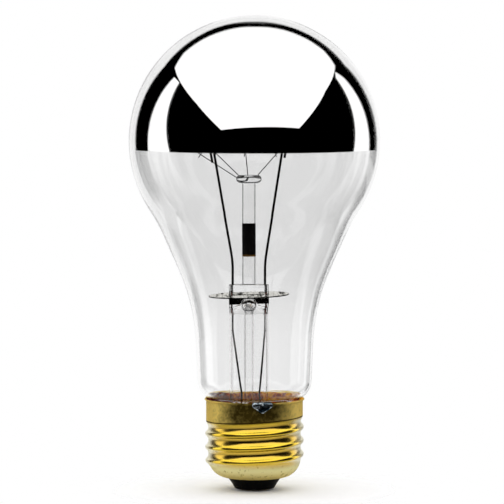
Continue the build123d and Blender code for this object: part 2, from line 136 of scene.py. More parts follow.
def stem_material(name, index, edge_foot, edge_start, painted_edge_shade):
    """Clear lead glass whose grazing edges get painted shade above a height: a dark tint for the dark edges
    that glass shows in a bright room. The button's painted dark edges are finer, and those of the blown port
    are broad on its lower half."""
    material, tree, shader = new_material(name)
    set_values(shader, {"Roughness": 0.0, "IOR": index, "Transmission Weight": 1.0})
    waves = add_node(tree, "ShaderNodeGroup", {"node_tree": glass_waves}, {"Across": 500.0, "Along": 60.0})
    bump = add_node(tree, "ShaderNodeBump", values={"Strength": 0.06, "Distance": 0.0003})
    place = add_node(tree, "ShaderNodeTexCoord")
    split = add_node(tree, "ShaderNodeSeparateXYZ")
    # Painted shade: above a height, grazing edges are mixed towards a dark tone. It is finer at the button
    # and broad on the blown port's lower half.
    button = ramp(tree, button_z - 0.0002, button_z + 0.0002, 0.0, -0.2)
    from_port = calc_vector(tree, "DISTANCE", {1: port_at})
    bubble = ramp(tree, bubble_r + 0.0001, bubble_r - 0.0001)
    under = ramp(tree, port_at[2] - 0.0002, port_at[2] - 0.0016, -0.5, 0.55)
    shaded = calc(tree, "MULTIPLY")
    blown = calc(tree, "ADD")
    above = ramp(tree, edge_foot, edge_foot + 0.0004)
    grazing = add_node(tree, "ShaderNodeLayerWeight", values={"Blend": 0.5})
    thinned = calc(tree, "ADD")
    edge = ramp(tree, edge_start, edge_start + 0.22)
    drawn = calc(tree, "MULTIPLY")
    tone = mix_tones(tree, (1, 1, 1, 1), (painted_edge_shade, painted_edge_shade, painted_edge_shade, 1))
    tree.links.new(waves.outputs["Height"], bump.inputs["Height"])
    tree.links.new(bump.outputs["Normal"], shader.inputs["Normal"])
    tree.links.new(place.outputs["Object"], split.inputs[0])
    tree.links.new(split.outputs["Z"], button.inputs[0])
    tree.links.new(split.outputs["Z"], above.inputs[0])
    tree.links.new(grazing.outputs["Facing"], thinned.inputs[0])
    tree.links.new(place.outputs["Object"], from_port.inputs[0])
    tree.links.new(from_port.outputs["Value"], bubble.inputs[0])
    tree.links.new(button.outputs[0], blown.inputs[0])
    tree.links.new(split.outputs["Z"], under.inputs[0])
    tree.links.new(bubble.outputs[0], shaded.inputs[0])
    tree.links.new(under.outputs[0], shaded.inputs[1])
    tree.links.new(shaded.outputs[0], blown.inputs[1])
    tree.links.new(blown.outputs[0], thinned.inputs[1])
    tree.links.new(thinned.outputs[0], edge.inputs[0])
    tree.links.new(edge.outputs[0], drawn.inputs[0])
    tree.links.new(above.outputs[0], drawn.inputs[1])
    tree.links.new(drawn.outputs[0], tone.inputs[0])
    tree.links.new(tone.outputs[2], shader.inputs["Base Color"])
    let_lamps_through(tree, shader)
    return material


flare_glass = stem_material("flare glass", index=1.28, edge_foot=0.0470, edge_start=0.5, painted_edge_shade=0.01)
tube_glass = stem_material("tube glass", index=1.25, edge_foot=0.0, edge_start=0.5, painted_edge_shade=0.5)
rod_glass = stem_material("rod glass", index=1.54, edge_foot=0.0, edge_start=0.36, painted_edge_shade=0.01)
dress("stem_flare", flare_glass)
dress("exhaust_tube", tube_glass)
dress("arbor_rod", rod_glass)

# Getter
# Dark paint brushed round the rod, which takes up the last gas in the bulb. It thins out to a brown film at
# its lower edge.
getter_foot = 0.0625
getter_paint, tree, shader = new_material("getter paint")
set_values(shader, {"Roughness": 0.9, "Specular IOR Level": 0.1})
place = add_node(tree, "ShaderNodeTexCoord")
split = add_node(tree, "ShaderNodeSeparateXYZ")
ragged = add_node(tree, "ShaderNodeTexNoise", values={"Scale": 900.0, "Detail": 3.0})
edge = ramp(tree, getter_foot, getter_foot + 0.0007)
mixed = calc(tree, "MULTIPLY_ADD", {1: 0.3, 2: -0.1})
body = calc(tree, "ADD", clamp=True)
paint = mix_tones(tree, (0.20, 0.10, 0.02, 1), (0.004, 0.003, 0.003, 1))
tree.links.new(place.outputs["Object"], split.inputs[0])
tree.links.new(place.outputs["Object"], ragged.inputs["Vector"])
tree.links.new(split.outputs["Z"], edge.inputs[0])
tree.links.new(ragged.outputs["Fac"], mixed.inputs[0])
tree.links.new(edge.outputs[0], body.inputs[0])
tree.links.new(mixed.outputs[0], body.inputs[1])
tree.links.new(body.outputs[0], paint.inputs[0])
tree.links.new(paint.outputs[2], shader.inputs["Base Color"])
dress("getter_band", getter_paint)

# Leads, seal wires and support wires
# Nickel leads above the press, copper-clad wire through it that is dark below it, and soft wire below the
# welds. The supports are molybdenum and the filament is tungsten. All of it is drawn wire, whose finish
# varies between bright and heat-dulled.
drawn_wire = bpy.data.node_groups.new("drawn wire", "ShaderNodeTree")
drawn_wire.interface.new_socket("Bright", in_out="INPUT", socket_type="NodeSocketColor")
drawn_wire.interface.new_socket("Dull", in_out="INPUT", socket_type="NodeSocketColor")
drawn_wire.interface.new_socket("Scale", in_out="INPUT", socket_type="NodeSocketFloat")
drawn_wire.interface.new_socket("Color", in_out="OUTPUT", socket_type="NodeSocketColor")
drawn_wire.interface.new_socket("Roughness", in_out="OUTPUT", socket_type="NodeSocketFloat")
wire_in = add_node(drawn_wire, "NodeGroupInput")
wire_out = add_node(drawn_wire, "NodeGroupOutput")
wire_place = add_node(drawn_wire, "ShaderNodeTexCoord")
wire_noise = add_node(drawn_wire, "ShaderNodeTexNoise", values={"Detail": 3.0, "Roughness": 0.6})
wire_mix = mix_tones(drawn_wire)
wire_gloss = ramp(drawn_wire, 0.3, 0.7, 0.28, 0.5)
drawn_wire.links.new(wire_place.outputs["Object"], wire_noise.inputs["Vector"])
drawn_wire.links.new(wire_in.outputs["Scale"], wire_noise.inputs["Scale"])
drawn_wire.links.new(wire_noise.outputs["Fac"], wire_mix.inputs[0])
drawn_wire.links.new(wire_in.outputs["Bright"], wire_mix.inputs[6])
drawn_wire.links.new(wire_in.outputs["Dull"], wire_mix.inputs[7])
drawn_wire.links.new(wire_noise.outputs["Fac"], wire_gloss.inputs[0])
drawn_wire.links.new(wire_mix.outputs[2], wire_out.inputs["Color"])
drawn_wire.links.new(wire_gloss.outputs[0], wire_out.inputs["Roughness"])


def wire_material(name, bright, dull, scale):
    """Drawn metal wire whose colour and gloss wander between a bright and a dull tone."""
    material, tree, shader = new_material(name)
    set_values(shader, {"Metallic": 1.0})
    finish = add_node(tree, "ShaderNodeGroup", {"node_tree": drawn_wire})
    set_values(finish, {"Bright": (*bright, 1), "Dull": (*dull, 1), "Scale": scale})
    tree.links.new(finish.outputs["Color"], shader.inputs["Base Color"])
    tree.links.new(finish.outputs["Roughness"], shader.inputs["Roughness"])
    return material


lead_nickel = wire_material("lead nickel", (0.035, 0.034, 0.032), (0.008, 0.008, 0.008), 900.0)
press_foot = 0.0472
seal_copper = wire_material("seal copper", (0.30, 0.07, 0.04), (0.05, 0.012, 0.01), 1200.0)
tree = seal_copper.node_tree
shader = tree.nodes["Principled BSDF"]
place = add_node(tree, "ShaderNodeTexCoord")
split = add_node(tree, "ShaderNodeSeparateXYZ")
heated = ramp(tree, press_foot, press_foot - 0.001)
scaled = mix_tones(tree, second=(0.015, 0.011, 0.01, 1))
tree.links.new(place.outputs["Object"], split.inputs[0])
tree.links.new(split.outputs["Z"], heated.inputs[0])
tree.links.new(heated.outputs[0], scaled.inputs[0])
tree.links.new(shader.inputs["Base Color"].links[0].from_socket, scaled.inputs[6])
tree.links.new(scaled.outputs[2], shader.inputs["Base Color"])
molybdenum = wire_material("molybdenum", (0.10, 0.10, 0.10), (0.03, 0.03, 0.03), 900.0)
tungsten = wire_material("tungsten", (0.22, 0.22, 0.23), (0.10, 0.10, 0.10), 3000.0)
outer_wire = wire_material("outer wire", (0.045, 0.035, 0.03), (0.012, 0.01, 0.01), 900.0)
for side in ("left", "right"):
    dress(f"inner_lead_{side}", lead_nickel)
    dress(f"seal_wire_{side}", seal_copper)
for number in (1, 2, 3, 4):
    dress(f"support_wire_{number}", molybdenum)
dress("filament", tungsten)
dress("outer_lead_tip", outer_wire)

# Heat shield
# Thin polished sheet, stamped to a disc with a slot, its two tabs bent down to grip the press.
# The disc is bright, with scratches that run one way and heat stains. Its cut rim is black, and the tabs
# under the disc are painted black as shade.
shield_centre, shield_r, tab_top = (-0.0015, 0.0, 0.052), 0.0106, 0.0518
shield_sheet, tree, shader = new_material("shield sheet")
set_values(shader, {"Specular IOR Level": 0.2, "Specular Tint": (0.85, 0.84, 0.80, 1)})
place = add_node(tree, "ShaderNodeTexCoord")
split = add_node(tree, "ShaderNodeSeparateXYZ")
drawn = calc_vector(tree, "MULTIPLY", {1: (1, 0.08, 1)})
stain = add_node(tree, "ShaderNodeTexNoise", values={"Scale": 900.0, "Detail": 4.0, "Roughness": 0.65})
clean = ramp(tree, 0.60, 0.52)
spread = ramp(tree, 0.50, 0.62)
sheet = mix_tones(tree, (0.82, 0.81, 0.76, 1), (0.03, 0.025, 0.02, 1))
from_axis = calc_vector(tree, "DISTANCE", {1: shield_centre})
# The rim and the tabs are mixed to black. On the tabs under the disc this is painted shade.
rim = ramp(tree, shield_r - 0.0002, shield_r)
tab = ramp(tree, tab_top, tab_top - 0.0006)
black = calc(tree, "MAXIMUM")
black_rim_and_tab_shade = mix_tones(tree, second=(0.004, 0.003, 0.003, 1))
gloss = ramp(tree, 0.48, 0.62, 0.1, 0.9)
buckle = add_node(tree, "ShaderNodeBump", values={"Strength": 0.6, "Distance": 0.0004})
tree.links.new(place.outputs["Object"], split.inputs[0])
tree.links.new(place.outputs["Object"], drawn.inputs[0])
tree.links.new(drawn.outputs[0], stain.inputs["Vector"])
tree.links.new(place.outputs["Object"], from_axis.inputs[0])
tree.links.new(stain.outputs["Fac"], spread.inputs[0])
tree.links.new(spread.outputs[0], sheet.inputs[0])
tree.links.new(from_axis.outputs["Value"], rim.inputs[0])
tree.links.new(split.outputs["Z"], tab.inputs[0])
tree.links.new(rim.outputs[0], black.inputs[0])
tree.links.new(tab.outputs[0], black.inputs[1])
tree.links.new(black.outputs[0], black_rim_and_tab_shade.inputs[0])
tree.links.new(sheet.outputs[2], black_rim_and_tab_shade.inputs[6])
tree.links.new(stain.outputs["Fac"], gloss.inputs[0])
tree.links.new(stain.outputs["Fac"], buckle.inputs["Height"])
tree.links.new(stain.outputs["Fac"], clean.inputs[0])
tree.links.new(clean.outputs[0], shader.inputs["Metallic"])
tree.links.new(buckle.outputs["Normal"], shader.inputs["Normal"])
tree.links.new(black_rim_and_tab_shade.outputs[2], shader.inputs["Base Color"])
tree.links.new(gloss.outputs[0], shader.inputs["Roughness"])
dress("heat_shield", shield_sheet)

# Mirror coating
# A film of metal laid on the inside of the crown, which ends in a clean edge just below the widest section.
# It is a little cloudy, and thins out to a dull line at its edge.
crown_r = 33.35
crown_z = 93.0
glass_wall = 0.7
mirror_gap = 0.05
mirror_t = 0.1
mirror_edge_z = 91.0


def arc(centre, radius, start, sweep, count):
    """Points on a circle: the centre plus the radius times cosine and sine of evenly spaced angles."""
    turn = np.radians(np.linspace(start, start + sweep, count))
    return np.column_stack((centre[0] + radius * np.cos(turn), centre[1] + radius * np.sin(turn)))


def mesh_over(name, points):
    """Smooth mesh over a grid of points in millimetres. Each row is a ring, and is joined to the next.
    Rings that run down the outside face outwards, and points that fall together are welded."""
    rows, steps = points.shape[:2]
    i, j = np.meshgrid(np.arange(rows - 1), np.arange(steps), indexing="ij")
    k = (j + 1) % steps
    quads = np.stack((i * steps + j, (i + 1) * steps + j, (i + 1) * steps + k, i * steps + k), -1)
    mesh = bpy.data.meshes.new(name)
    mesh.from_pydata((0.001 * points.reshape(-1, 3)).tolist(), [], quads.reshape(-1, 4).tolist())
    welded = bmesh.new()
    welded.from_mesh(mesh)
    bmesh.ops.remove_doubles(welded, verts=welded.verts, dist=1e-7)
    welded.to_mesh(mesh)
    welded.free()
    mesh.polygons.foreach_set("use_smooth", np.ones(len(mesh.polygons), bool))
    mesh.set_sharp_from_angle(angle=radians(35))
    made = bpy.data.objects.new(name, mesh)
    bpy.context.scene.collection.objects.link(made)
    return made


def turned(r, z, a):
    """Points of a turned form: x = r cos a, y = r sin a, and z, on one grid of rows and angles."""
    return np.stack(np.broadcast_arrays(r * np.cos(a), r * np.sin(a), z), -1)


def lathe(name, outline, steps):
    """Surface of revolution: an outline of (r, z) points carried round the upright axis in even steps."""
    r, z = np.asarray(outline, float).T
    a = np.linspace(0.0, 2 * pi, steps, endpoint=False)
    return mesh_over(name, turned(r[:, None], z[:, None], a[None, :]))


coat_r = crown_r - glass_wall - mirror_gap


def film_arc(radius):
    """Arc round the crown's centre at a radius, from the pole down to the height of the mirror's edge."""
    return arc((0, crown_z), radius, 90, -90 - degrees(asin((crown_z - mirror_edge_z) / radius)), 90)


coating = lathe("mirror_film", np.concatenate((film_arc(coat_r), film_arc(coat_r - mirror_t)[::-1])), 192)
mirror_film, tree, shader = new_material("mirror film")
set_values(shader, {"Metallic": 1.0})
place = add_node(tree, "ShaderNodeTexCoord")
split = add_node(tree, "ShaderNodeSeparateXYZ")
cloud = add_node(tree, "ShaderNodeTexNoise", values={"Scale": 45.0, "Detail": 3.0})
film = mix_tones(tree, (0.99, 0.99, 0.99, 1), (0.93, 0.93, 0.92, 1))
thin = ramp(tree, 0.001 * (mirror_edge_z + 0.3), 0.001 * mirror_edge_z, 0.0, 0.2)
tree.links.new(place.outputs["Object"], split.inputs[0])
tree.links.new(place.outputs["Object"], cloud.inputs["Vector"])
tree.links.new(cloud.outputs["Fac"], film.inputs[0])
tree.links.new(film.outputs[2], shader.inputs["Base Color"])
tree.links.new(split.outputs["Z"], thin.inputs[0])
tree.links.new(thin.outputs[0], shader.inputs["Roughness"])
coating.data.materials.append(mirror_film)
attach(coating, "root")
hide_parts("mirror_coating")

# Bulb
# One blown bulb of clear soda glass: crown, cone, neck, and the skirt that is melted to the flare's foot.
# Blowing leaves the wall a little uneven, so what shines in it breaks up into upright streaks. The globe is
# faintly grey, and clears towards the neck.
shoulder_r, cone_angle, cone_inset = 40.0, 24.0, 1.05
waist_r, neck_r, neck_taper = 55.0, 15.2, 2.5
heel_r, throat_r, skirt_r, seal_z = 5.4, 1.5, 11.2, 19.5
cap_rim_z, collar_r, rim_gap = 24.25, 12.9, 0.65
mist_foot, mist_top = 0.036, 0.062


def polar(centre, radius, angle):
    """Point at a radius and an angle from a centre."""
    return (centre[0] + radius * cos(radians(angle)), centre[1] + radius * sin(radians(angle)))


def heel_centre():
    """Centre of the heel's arc, which leaves the gap above the cap's rim at the collar's radius."""
    x = neck_r - heel_r * cos(radians(neck_taper))
    return (x, cap_rim_z + rim_gap + sqrt(heel_r**2 - (collar_r - x) ** 2))


def throat_centre(heel):
    """Centre of the throat's arc, which is tangent to the heel and to the upright skirt."""
    x = skirt_r + throat_r
    return (x, heel[1] - sqrt((heel_r + throat_r) ** 2 - (x - heel[0]) ** 2))


def bulb_outline(inset):
    """Tangent arcs and lines from the pole to the seal, moved inwards by inset: crown, shoulder, cone, waist,
    neck, heel, throat and skirt."""
    crown = (0.0, crown_z)
    reach = crown_r - cone_inset
    bend = degrees(acos((reach + shoulder_r) / (crown_r + shoulder_r)))
    shoulder = polar(crown, crown_r + shoulder_r, -cone_angle - bend)
    heel = heel_centre()
    neck_z = heel[1] - heel_r * sin(radians(neck_taper))
    out = cos(radians(neck_taper)) * neck_r + sin(radians(neck_taper)) * (crown_z - neck_z) + waist_r
    turn = radians(cone_angle - neck_taper)
    down = (reach + waist_r - out * cos(turn)) / sin(turn)
    waist = polar(polar(crown, out, -neck_taper), down, -neck_taper - 90)
    throat = throat_centre(heel)
    dip = degrees(atan2(heel[1] - throat[1], throat[0] - heel[0]))
    return np.concatenate((
        arc(crown, crown_r - inset, 90, -90 - cone_angle - bend, 110),
        arc(shoulder, shoulder_r + inset, 180 - cone_angle - bend, bend, 16)[1:],
        arc(waist, waist_r + inset, 180 - cone_angle, cone_angle - neck_taper, 40),
        arc(heel, heel_r - inset, -neck_taper, neck_taper - dip, 20),
        arc(throat, throat_r + inset, 180 - dip, dip, 10)[1:],
        np.array([(skirt_r - inset, seal_z)]),
    ))


bulb = lathe("blown_bulb", np.concatenate((bulb_outline(0.0), bulb_outline(glass_wall)[::-1])), 192)
clear_glass, tree, shader = new_material("clear glass")
set_values(shader, {"Roughness": 0.0, "IOR": 1.5, "Transmission Weight": 1.0})
place = add_node(tree, "ShaderNodeTexCoord")
split = add_node(tree, "ShaderNodeSeparateXYZ")
misty = soft_ramp(tree, mist_foot, mist_top)
mist = mix_tones(tree, (0.995, 0.995, 0.995, 1), (0.925, 0.925, 0.925, 1))
tree.links.new(place.outputs["Object"], split.inputs[0])
tree.links.new(split.outputs["Z"], misty.inputs[0])
tree.links.new(misty.outputs[0], mist.inputs[0])
tree.links.new(mist.outputs[2], shader.inputs["Base Color"])
waves = add_node(tree, "ShaderNodeGroup", {"node_tree": glass_waves}, {"Across": 60.0, "Along": 9.0})
bump = add_node(tree, "ShaderNodeBump", values={"Strength": 0.2, "Distance": 0.0005})
tree.links.new(waves.outputs["Height"], bump.inputs["Height"])
tree.links.new(bump.outputs["Normal"], shader.inputs["Normal"])
let_lamps_through(tree, shader)
bulb.data.materials.append(clear_glass)
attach(bulb, "root")
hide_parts("envelope")

# Screw shell and contact eyelet
# A cup of thin brass with a round thread rolled into it: one ridge that climbs from the dome and fades out
# under the collar. Rolling polishes the thread. The collar is grainy and smoky from soldering, and the dome
# keeps the dull skin and small stains of the drawn cup.
cap_sheet, eye_r, eye_z, root_r, crest_r = 0.3, 7.2, 3.4, 12.3, 13.135
pitch, crest_arc, ridge_z, lip_r, lip_h = 3.629, 0.75, 6.02, 13.35, 0.6
ridge_start, ridge_end, ridge_fade = 0.15, 3.0, 0.3
collar_z, collar_tilt, collar_rise = 19.3, 0.7, 1.8
dome_r = root_r - eye_r


def ease(value, low, high):
    """Smooth step from 0 at low to 1 at high: three t squared less two t cubed."""
    t = np.clip((value - low) / (high - low), 0.0, 1.0)
    return t * t * (3.0 - 2.0 * t)


def shell_radius(z, a):
    """Outside radius of the shell at height z and angle a. On the dome and the root's cylinder lies one ridge
    that climbs a pitch in each turn. Its tight crest arc is tangent to the wide root arc, and it fades in and
    out over part of a turn. The collar stands over it, with a lower edge that slopes the same way."""
    drop = np.clip(eye_z + dome_r - z, 0.0, dome_r)
    blank = eye_r + np.sqrt(dome_r**2 - drop**2)
    depth = crest_r - root_r
    both_arcs = (depth**2 + (pitch / 2) ** 2) / (2 * depth)
    root_arc = both_arcs - crest_arc
    flank = crest_arc * pitch / 2 / both_arcs
    turn = (z - ridge_z) / pitch - a / (2 * pi)
    number = np.round(turn)
    off = pitch * np.abs(turn - number)
    crest = depth - crest_arc + np.sqrt(crest_arc**2 - np.minimum(off, flank) ** 2)
    root = root_arc - np.sqrt(root_arc**2 - np.minimum(pitch / 2 - off, pitch / 2 - flank) ** 2)
    climbed = number + a / (2 * pi)
    grown = ease(climbed, ridge_start, ridge_start + ridge_fade)
    ended = ease(climbed, ridge_end, ridge_end + ridge_fade)
    ridge = np.where(off < flank, crest, root) * grown * (1 - ended)
    collar_edge = collar_z + collar_tilt * np.cos(a)
    collar = (collar_r - root_r) * ease(z, collar_edge - collar_rise, collar_edge)
    lip = (lip_r - collar_r) * np.clip((z - cap_rim_z + lip_h) / lip_h, 0.0, 1.0) ** 2
    return blank + np.maximum(ridge, collar) + lip


thread_low, thread_high = 5.4, 20.4
dome_turn = np.linspace(acos(1 - (thread_low - eye_z) / dome_r), 0.0, 14)
shell_z = np.concatenate((
    np.linspace(cap_rim_z, cap_rim_z - lip_h, 8),
    np.linspace(cap_rim_z - lip_h, thread_high, 6)[1:],
    np.linspace(thread_high, thread_low, 190)[1:],
    eye_z + dome_r * (1 - np.cos(dome_turn[1:])),
))[:, None]
shell_a = np.linspace(0.0, 2 * pi, 240, endpoint=False)[None, :]
shell_r = shell_radius(shell_z, shell_a)
r_step = np.gradient(shell_r, axis=0)
z_step = np.gradient(shell_z, axis=0)
step = np.hypot(r_step, z_step)
inside_r = (shell_r + cap_sheet * z_step / step)[::-2]
inside_z = (shell_z - cap_sheet * r_step / step)[::-2]
shell_outside = turned(shell_r, shell_z, shell_a)
shell_inside = turned(inside_r, inside_z, shell_a)
shell = mesh_over("rolled_shell", np.concatenate((shell_outside, shell_inside, shell_outside[:1])))
soot_at, soot_dark, soot_clear = (-0.0003, -0.0127, 0.0225), 0.009, 0.0178
skin_top, dome_darkening_top = 0.0082, 0.0062
brass, tree, shader = new_material("rolled brass")
set_values(shader, {"Metallic": 1.0})
place = add_node(tree, "ShaderNodeTexCoord")
split = add_node(tree, "ShaderNodeSeparateXYZ")
flat = calc_vector(tree, "MULTIPLY", {1: (1, 1, 0)})
radius = calc_vector(tree, "LENGTH")
# Darker brass in the thread's root: tarnish there, and painted shade in the groove.
root = soft_ramp(tree, 0.001 * (root_r + 0.5), 0.001 * root_r)
cloud = add_node(tree, "ShaderNodeTexNoise", values={"Scale": 220.0, "Detail": 5.0, "Roughness": 0.6})
speck = add_node(tree, "ShaderNodeTexNoise", values={"Scale": 900.0, "Detail": 3.0, "Roughness": 0.6})
east = calc(tree, "DIVIDE")
slope = calc(tree, "MULTIPLY_ADD", {1: -0.001 * collar_tilt})
collar = ramp(tree, 0.001 * (collar_z - 0.7), 0.001 * (collar_z + 0.1))
# Painted shade: a dark line along the crease at the collar's lower edge.
seam = calc(tree, "COMPARE", {1: 0.001 * (collar_z - 0.1), 2: 0.00016})
# Painted sheen: at grazing angles the brass is mixed towards a pale tone, as where it mirrors the bright
# backdrop.
grazing = add_node(tree, "ShaderNodeLayerWeight", values={"Blend": 0.5})
painted_sheen_at_limb = soft_ramp(tree, 0.4, 0.8)
pale = mix_tones(tree, second=(1.0, 0.95, 0.72, 1))
collar_crease_shade = mix_tones(tree, second=(0.10, 0.06, 0.01, 1))
softer = calc(tree, "MULTIPLY_ADD", {1: 0.2})
dome = ramp(tree, skin_top, skin_top - 0.0016)
# The dome is darker towards the bottom.
deep = ramp(tree, dome_darkening_top, dome_darkening_top - 0.0026, 0.0, 0.8)
spots = ramp(tree, 0.60, 0.70)
from_joint = calc_vector(tree, "DISTANCE", {1: soot_at})
ragged = calc(tree, "MULTIPLY_ADD", {1: 0.012})
sooty = soft_ramp(tree, soot_clear, soot_dark)
grain = calc(tree, "MULTIPLY_ADD", {1: 1.2, 2: -0.6})
smudges = calc(tree, "ADD", clamp=True)
gold = mix_tones(tree, (1.0, 0.77, 0.09, 1), (0.92, 0.57, 0.04, 1))
root_tarnish_and_shade = mix_tones(tree, second=(0.85, 0.56, 0.09, 1))
soot = mix_tones(tree, (1.0, 0.76, 0.20, 1), (0.12, 0.08, 0.012, 1))
skin = mix_tones(tree, (0.95, 0.87, 0.44, 1), (0.74, 0.56, 0.13, 1))
drawn = mix_tones(tree, second=(0.42, 0.32, 0.08, 1))
upper = mix_tones(tree)
lower = mix_tones(tree)
gloss = ramp(tree, 0.3, 0.7, 0.17, 0.26)
duller = calc(tree, "MULTIPLY_ADD", {1: 0.34})
dullest = calc(tree, "MULTIPLY_ADD", {1: 0.2})
tree.links.new(place.outputs["Object"], split.inputs[0])
tree.links.new(place.outputs["Object"], flat.inputs[0])
tree.links.new(flat.outputs[0], radius.inputs[0])
tree.links.new(radius.outputs["Value"], root.inputs[0])
tree.links.new(place.outputs["Object"], cloud.inputs["Vector"])
tree.links.new(place.outputs["Object"], speck.inputs["Vector"])
tree.links.new(split.outputs["X"], east.inputs[0])
tree.links.new(radius.outputs["Value"], east.inputs[1])
tree.links.new(east.outputs[0], slope.inputs[0])
tree.links.new(split.outputs["Z"], slope.inputs[2])
tree.links.new(slope.outputs[0], collar.inputs[0])
tree.links.new(slope.outputs[0], seam.inputs[0])
tree.links.new(grazing.outputs["Facing"], painted_sheen_at_limb.inputs[0])
tree.links.new(painted_sheen_at_limb.outputs[0], pale.inputs[0])
tree.links.new(painted_sheen_at_limb.outputs[0], softer.inputs[0])
tree.links.new(seam.outputs[0], collar_crease_shade.inputs[0])
tree.links.new(split.outputs["Z"], dome.inputs[0])
tree.links.new(split.outputs["Z"], deep.inputs[0])
tree.links.new(speck.outputs["Fac"], spots.inputs[0])
tree.links.new(place.outputs["Object"], from_joint.inputs[0])
tree.links.new(cloud.outputs["Fac"], ragged.inputs[0])
tree.links.new(from_joint.outputs["Value"], ragged.inputs[2])
tree.links.new(ragged.outputs[0], sooty.inputs[0])
tree.links.new(speck.outputs["Fac"], grain.inputs[0])
tree.links.new(sooty.outputs[0], smudges.inputs[0])
tree.links.new(grain.outputs[0], smudges.inputs[1])
tree.links.new(cloud.outputs["Fac"], gold.inputs[0])
tree.links.new(root.outputs[0], root_tarnish_and_shade.inputs[0])
tree.links.new(gold.outputs[2], root_tarnish_and_shade.inputs[6])
tree.links.new(smudges.outputs[0], soot.inputs[0])
tree.links.new(deep.outputs[0], skin.inputs[0])
tree.links.new(spots.outputs[0], drawn.inputs[0])
tree.links.new(skin.outputs[2], drawn.inputs[6])
tree.links.new(collar.outputs[0], upper.inputs[0])
tree.links.new(root_tarnish_and_shade.outputs[2], pale.inputs[6])
tree.links.new(pale.outputs[2], upper.inputs[6])
tree.links.new(soot.outputs[2], upper.inputs[7])
tree.links.new(dome.outputs[0], lower.inputs[0])
tree.links.new(upper.outputs[2], collar_crease_shade.inputs[6])
tree.links.new(collar_crease_shade.outputs[2], lower.inputs[6])
tree.links.new(drawn.outputs[2], lower.inputs[7])
tree.links.new(cloud.outputs["Fac"], gloss.inputs[0])
tree.links.new(collar.outputs[0], duller.inputs[0])
tree.links.new(gloss.outputs[0], softer.inputs[2])
tree.links.new(softer.outputs[0], duller.inputs[2])
tree.links.new(dome.outputs[0], dullest.inputs[0])
tree.links.new(duller.outputs[0], dullest.inputs[2])
tree.links.new(lower.outputs[2], shader.inputs["Base Color"])
tree.links.new(dullest.outputs[0], shader.inputs["Roughness"])
shell.data.materials.append(brass)
dress("contact_eyelet", brass)
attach(shell, "root")
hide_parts("screw_shell")

# Insulator
# Black glass poured into the dome and pressed to a stub. It is glossy, and a fine grit varies its gloss.
black_glass, tree, shader = new_material("black glass")
set_values(shader, {"Base Color": (0.002, 0.002, 0.002, 1), "IOR": 1.52, "Specular IOR Level": 0.03})
place = add_node(tree, "ShaderNodeTexCoord")
grit = add_node(tree, "ShaderNodeTexNoise", values={"Scale": 300.0, "Detail": 4.0})
gloss = ramp(tree, 0.35, 0.7, 0.26, 0.32)
tree.links.new(place.outputs["Object"], grit.inputs["Vector"])
tree.links.new(grit.outputs["Fac"], gloss.inputs[0])
tree.links.new(gloss.outputs[0], shader.inputs["Roughness"])
dress("insulator", black_glass)

# Solder
# Two drops of soft solder, one over the tip lead and one that ties the side lead to the collar. It sets with
# a dull blue-grey skin that has bright creases, and it has wetted the end of the side lead.
solder, tree, shader = new_material("soft solder")
set_values(shader, {"Metallic": 1.0, "Roughness": 0.24, "Specular Tint": (0.35, 0.42, 0.48, 1)})
place = add_node(tree, "ShaderNodeTexCoord")
skin = add_node(tree, "ShaderNodeTexNoise", values={"Scale": 750.0, "Detail": 4.0, "Roughness": 0.6})
tone = mix_tones(tree, (0.03, 0.06, 0.085, 1), (0.75, 0.84, 0.90, 1))
crease = ramp(tree, 0.50, 0.60)
bump = add_node(tree, "ShaderNodeBump", values={"Strength": 0.6, "Distance": 0.0006})
tree.links.new(place.outputs["Object"], skin.inputs["Vector"])
tree.links.new(skin.outputs["Fac"], crease.inputs[0])
tree.links.new(crease.outputs[0], tone.inputs[0])
tree.links.new(tone.outputs[2], shader.inputs["Base Color"])
tree.links.new(skin.outputs["Fac"], bump.inputs["Height"])
tree.links.new(bump.outputs["Normal"], shader.inputs["Normal"])
dress("tip_solder", solder)
dress("side_solder", solder)
lead_end = (0.0021, -0.0136, 0.0242)
tinned_lead = wire_material("tinned lead", (0.045, 0.035, 0.03), (0.012, 0.01, 0.01), 900.0)
tree = tinned_lead.node_tree
shader = tree.nodes["Principled BSDF"]
place = add_node(tree, "ShaderNodeTexCoord")
from_end = calc_vector(tree, "DISTANCE", {1: lead_end})
wetted = ramp(tree, 0.0018, 0.0012)
tinned = mix_tones(tree, second=(0.45, 0.49, 0.52, 1))
tree.links.new(place.outputs["Object"], from_end.inputs[0])
tree.links.new(from_end.outputs["Value"], wetted.inputs[0])
tree.links.new(wetted.outputs[0], tinned.inputs[0])
tree.links.new(shader.inputs["Base Color"].links[0].from_socket, tinned.inputs[6])
tree.links.new(tinned.outputs[2], shader.inputs["Base Color"])
dress("outer_lead_side", tinned_lead)

# Basing cement
# Baked resin and stone dust that bonds the skirt into the collar. It is mottled red-brown and orange, and its
# top is lumpy where it was pressed out between the glass and the rim.
cement_gap, cement_foot = 0.03, 19.0
cement_rise, cement_tilt, cement_lump, cement_least, cement_most = 0.05, 0.25, 0.7, -0.5, 0.45


def skirt_radius(z):
    """Outside radius of the glass at height z: the upright skirt, the throat's arc and then the heel's."""
    heel = heel_centre()
    throat = throat_centre(heel)
    meet_z = throat[1] + (heel[1] - throat[1]) * throat_r / (heel_r + throat_r)
    throat_part = throat[0] - np.sqrt(throat_r**2 - (np.clip(z, throat[1], meet_z) - throat[1]) ** 2)
    heel_part = heel[0] + np.sqrt(heel_r**2 - (np.clip(z, meet_z, heel[1]) - heel[1]) ** 2)
    return np.where(z < meet_z, throat_part, heel_part)


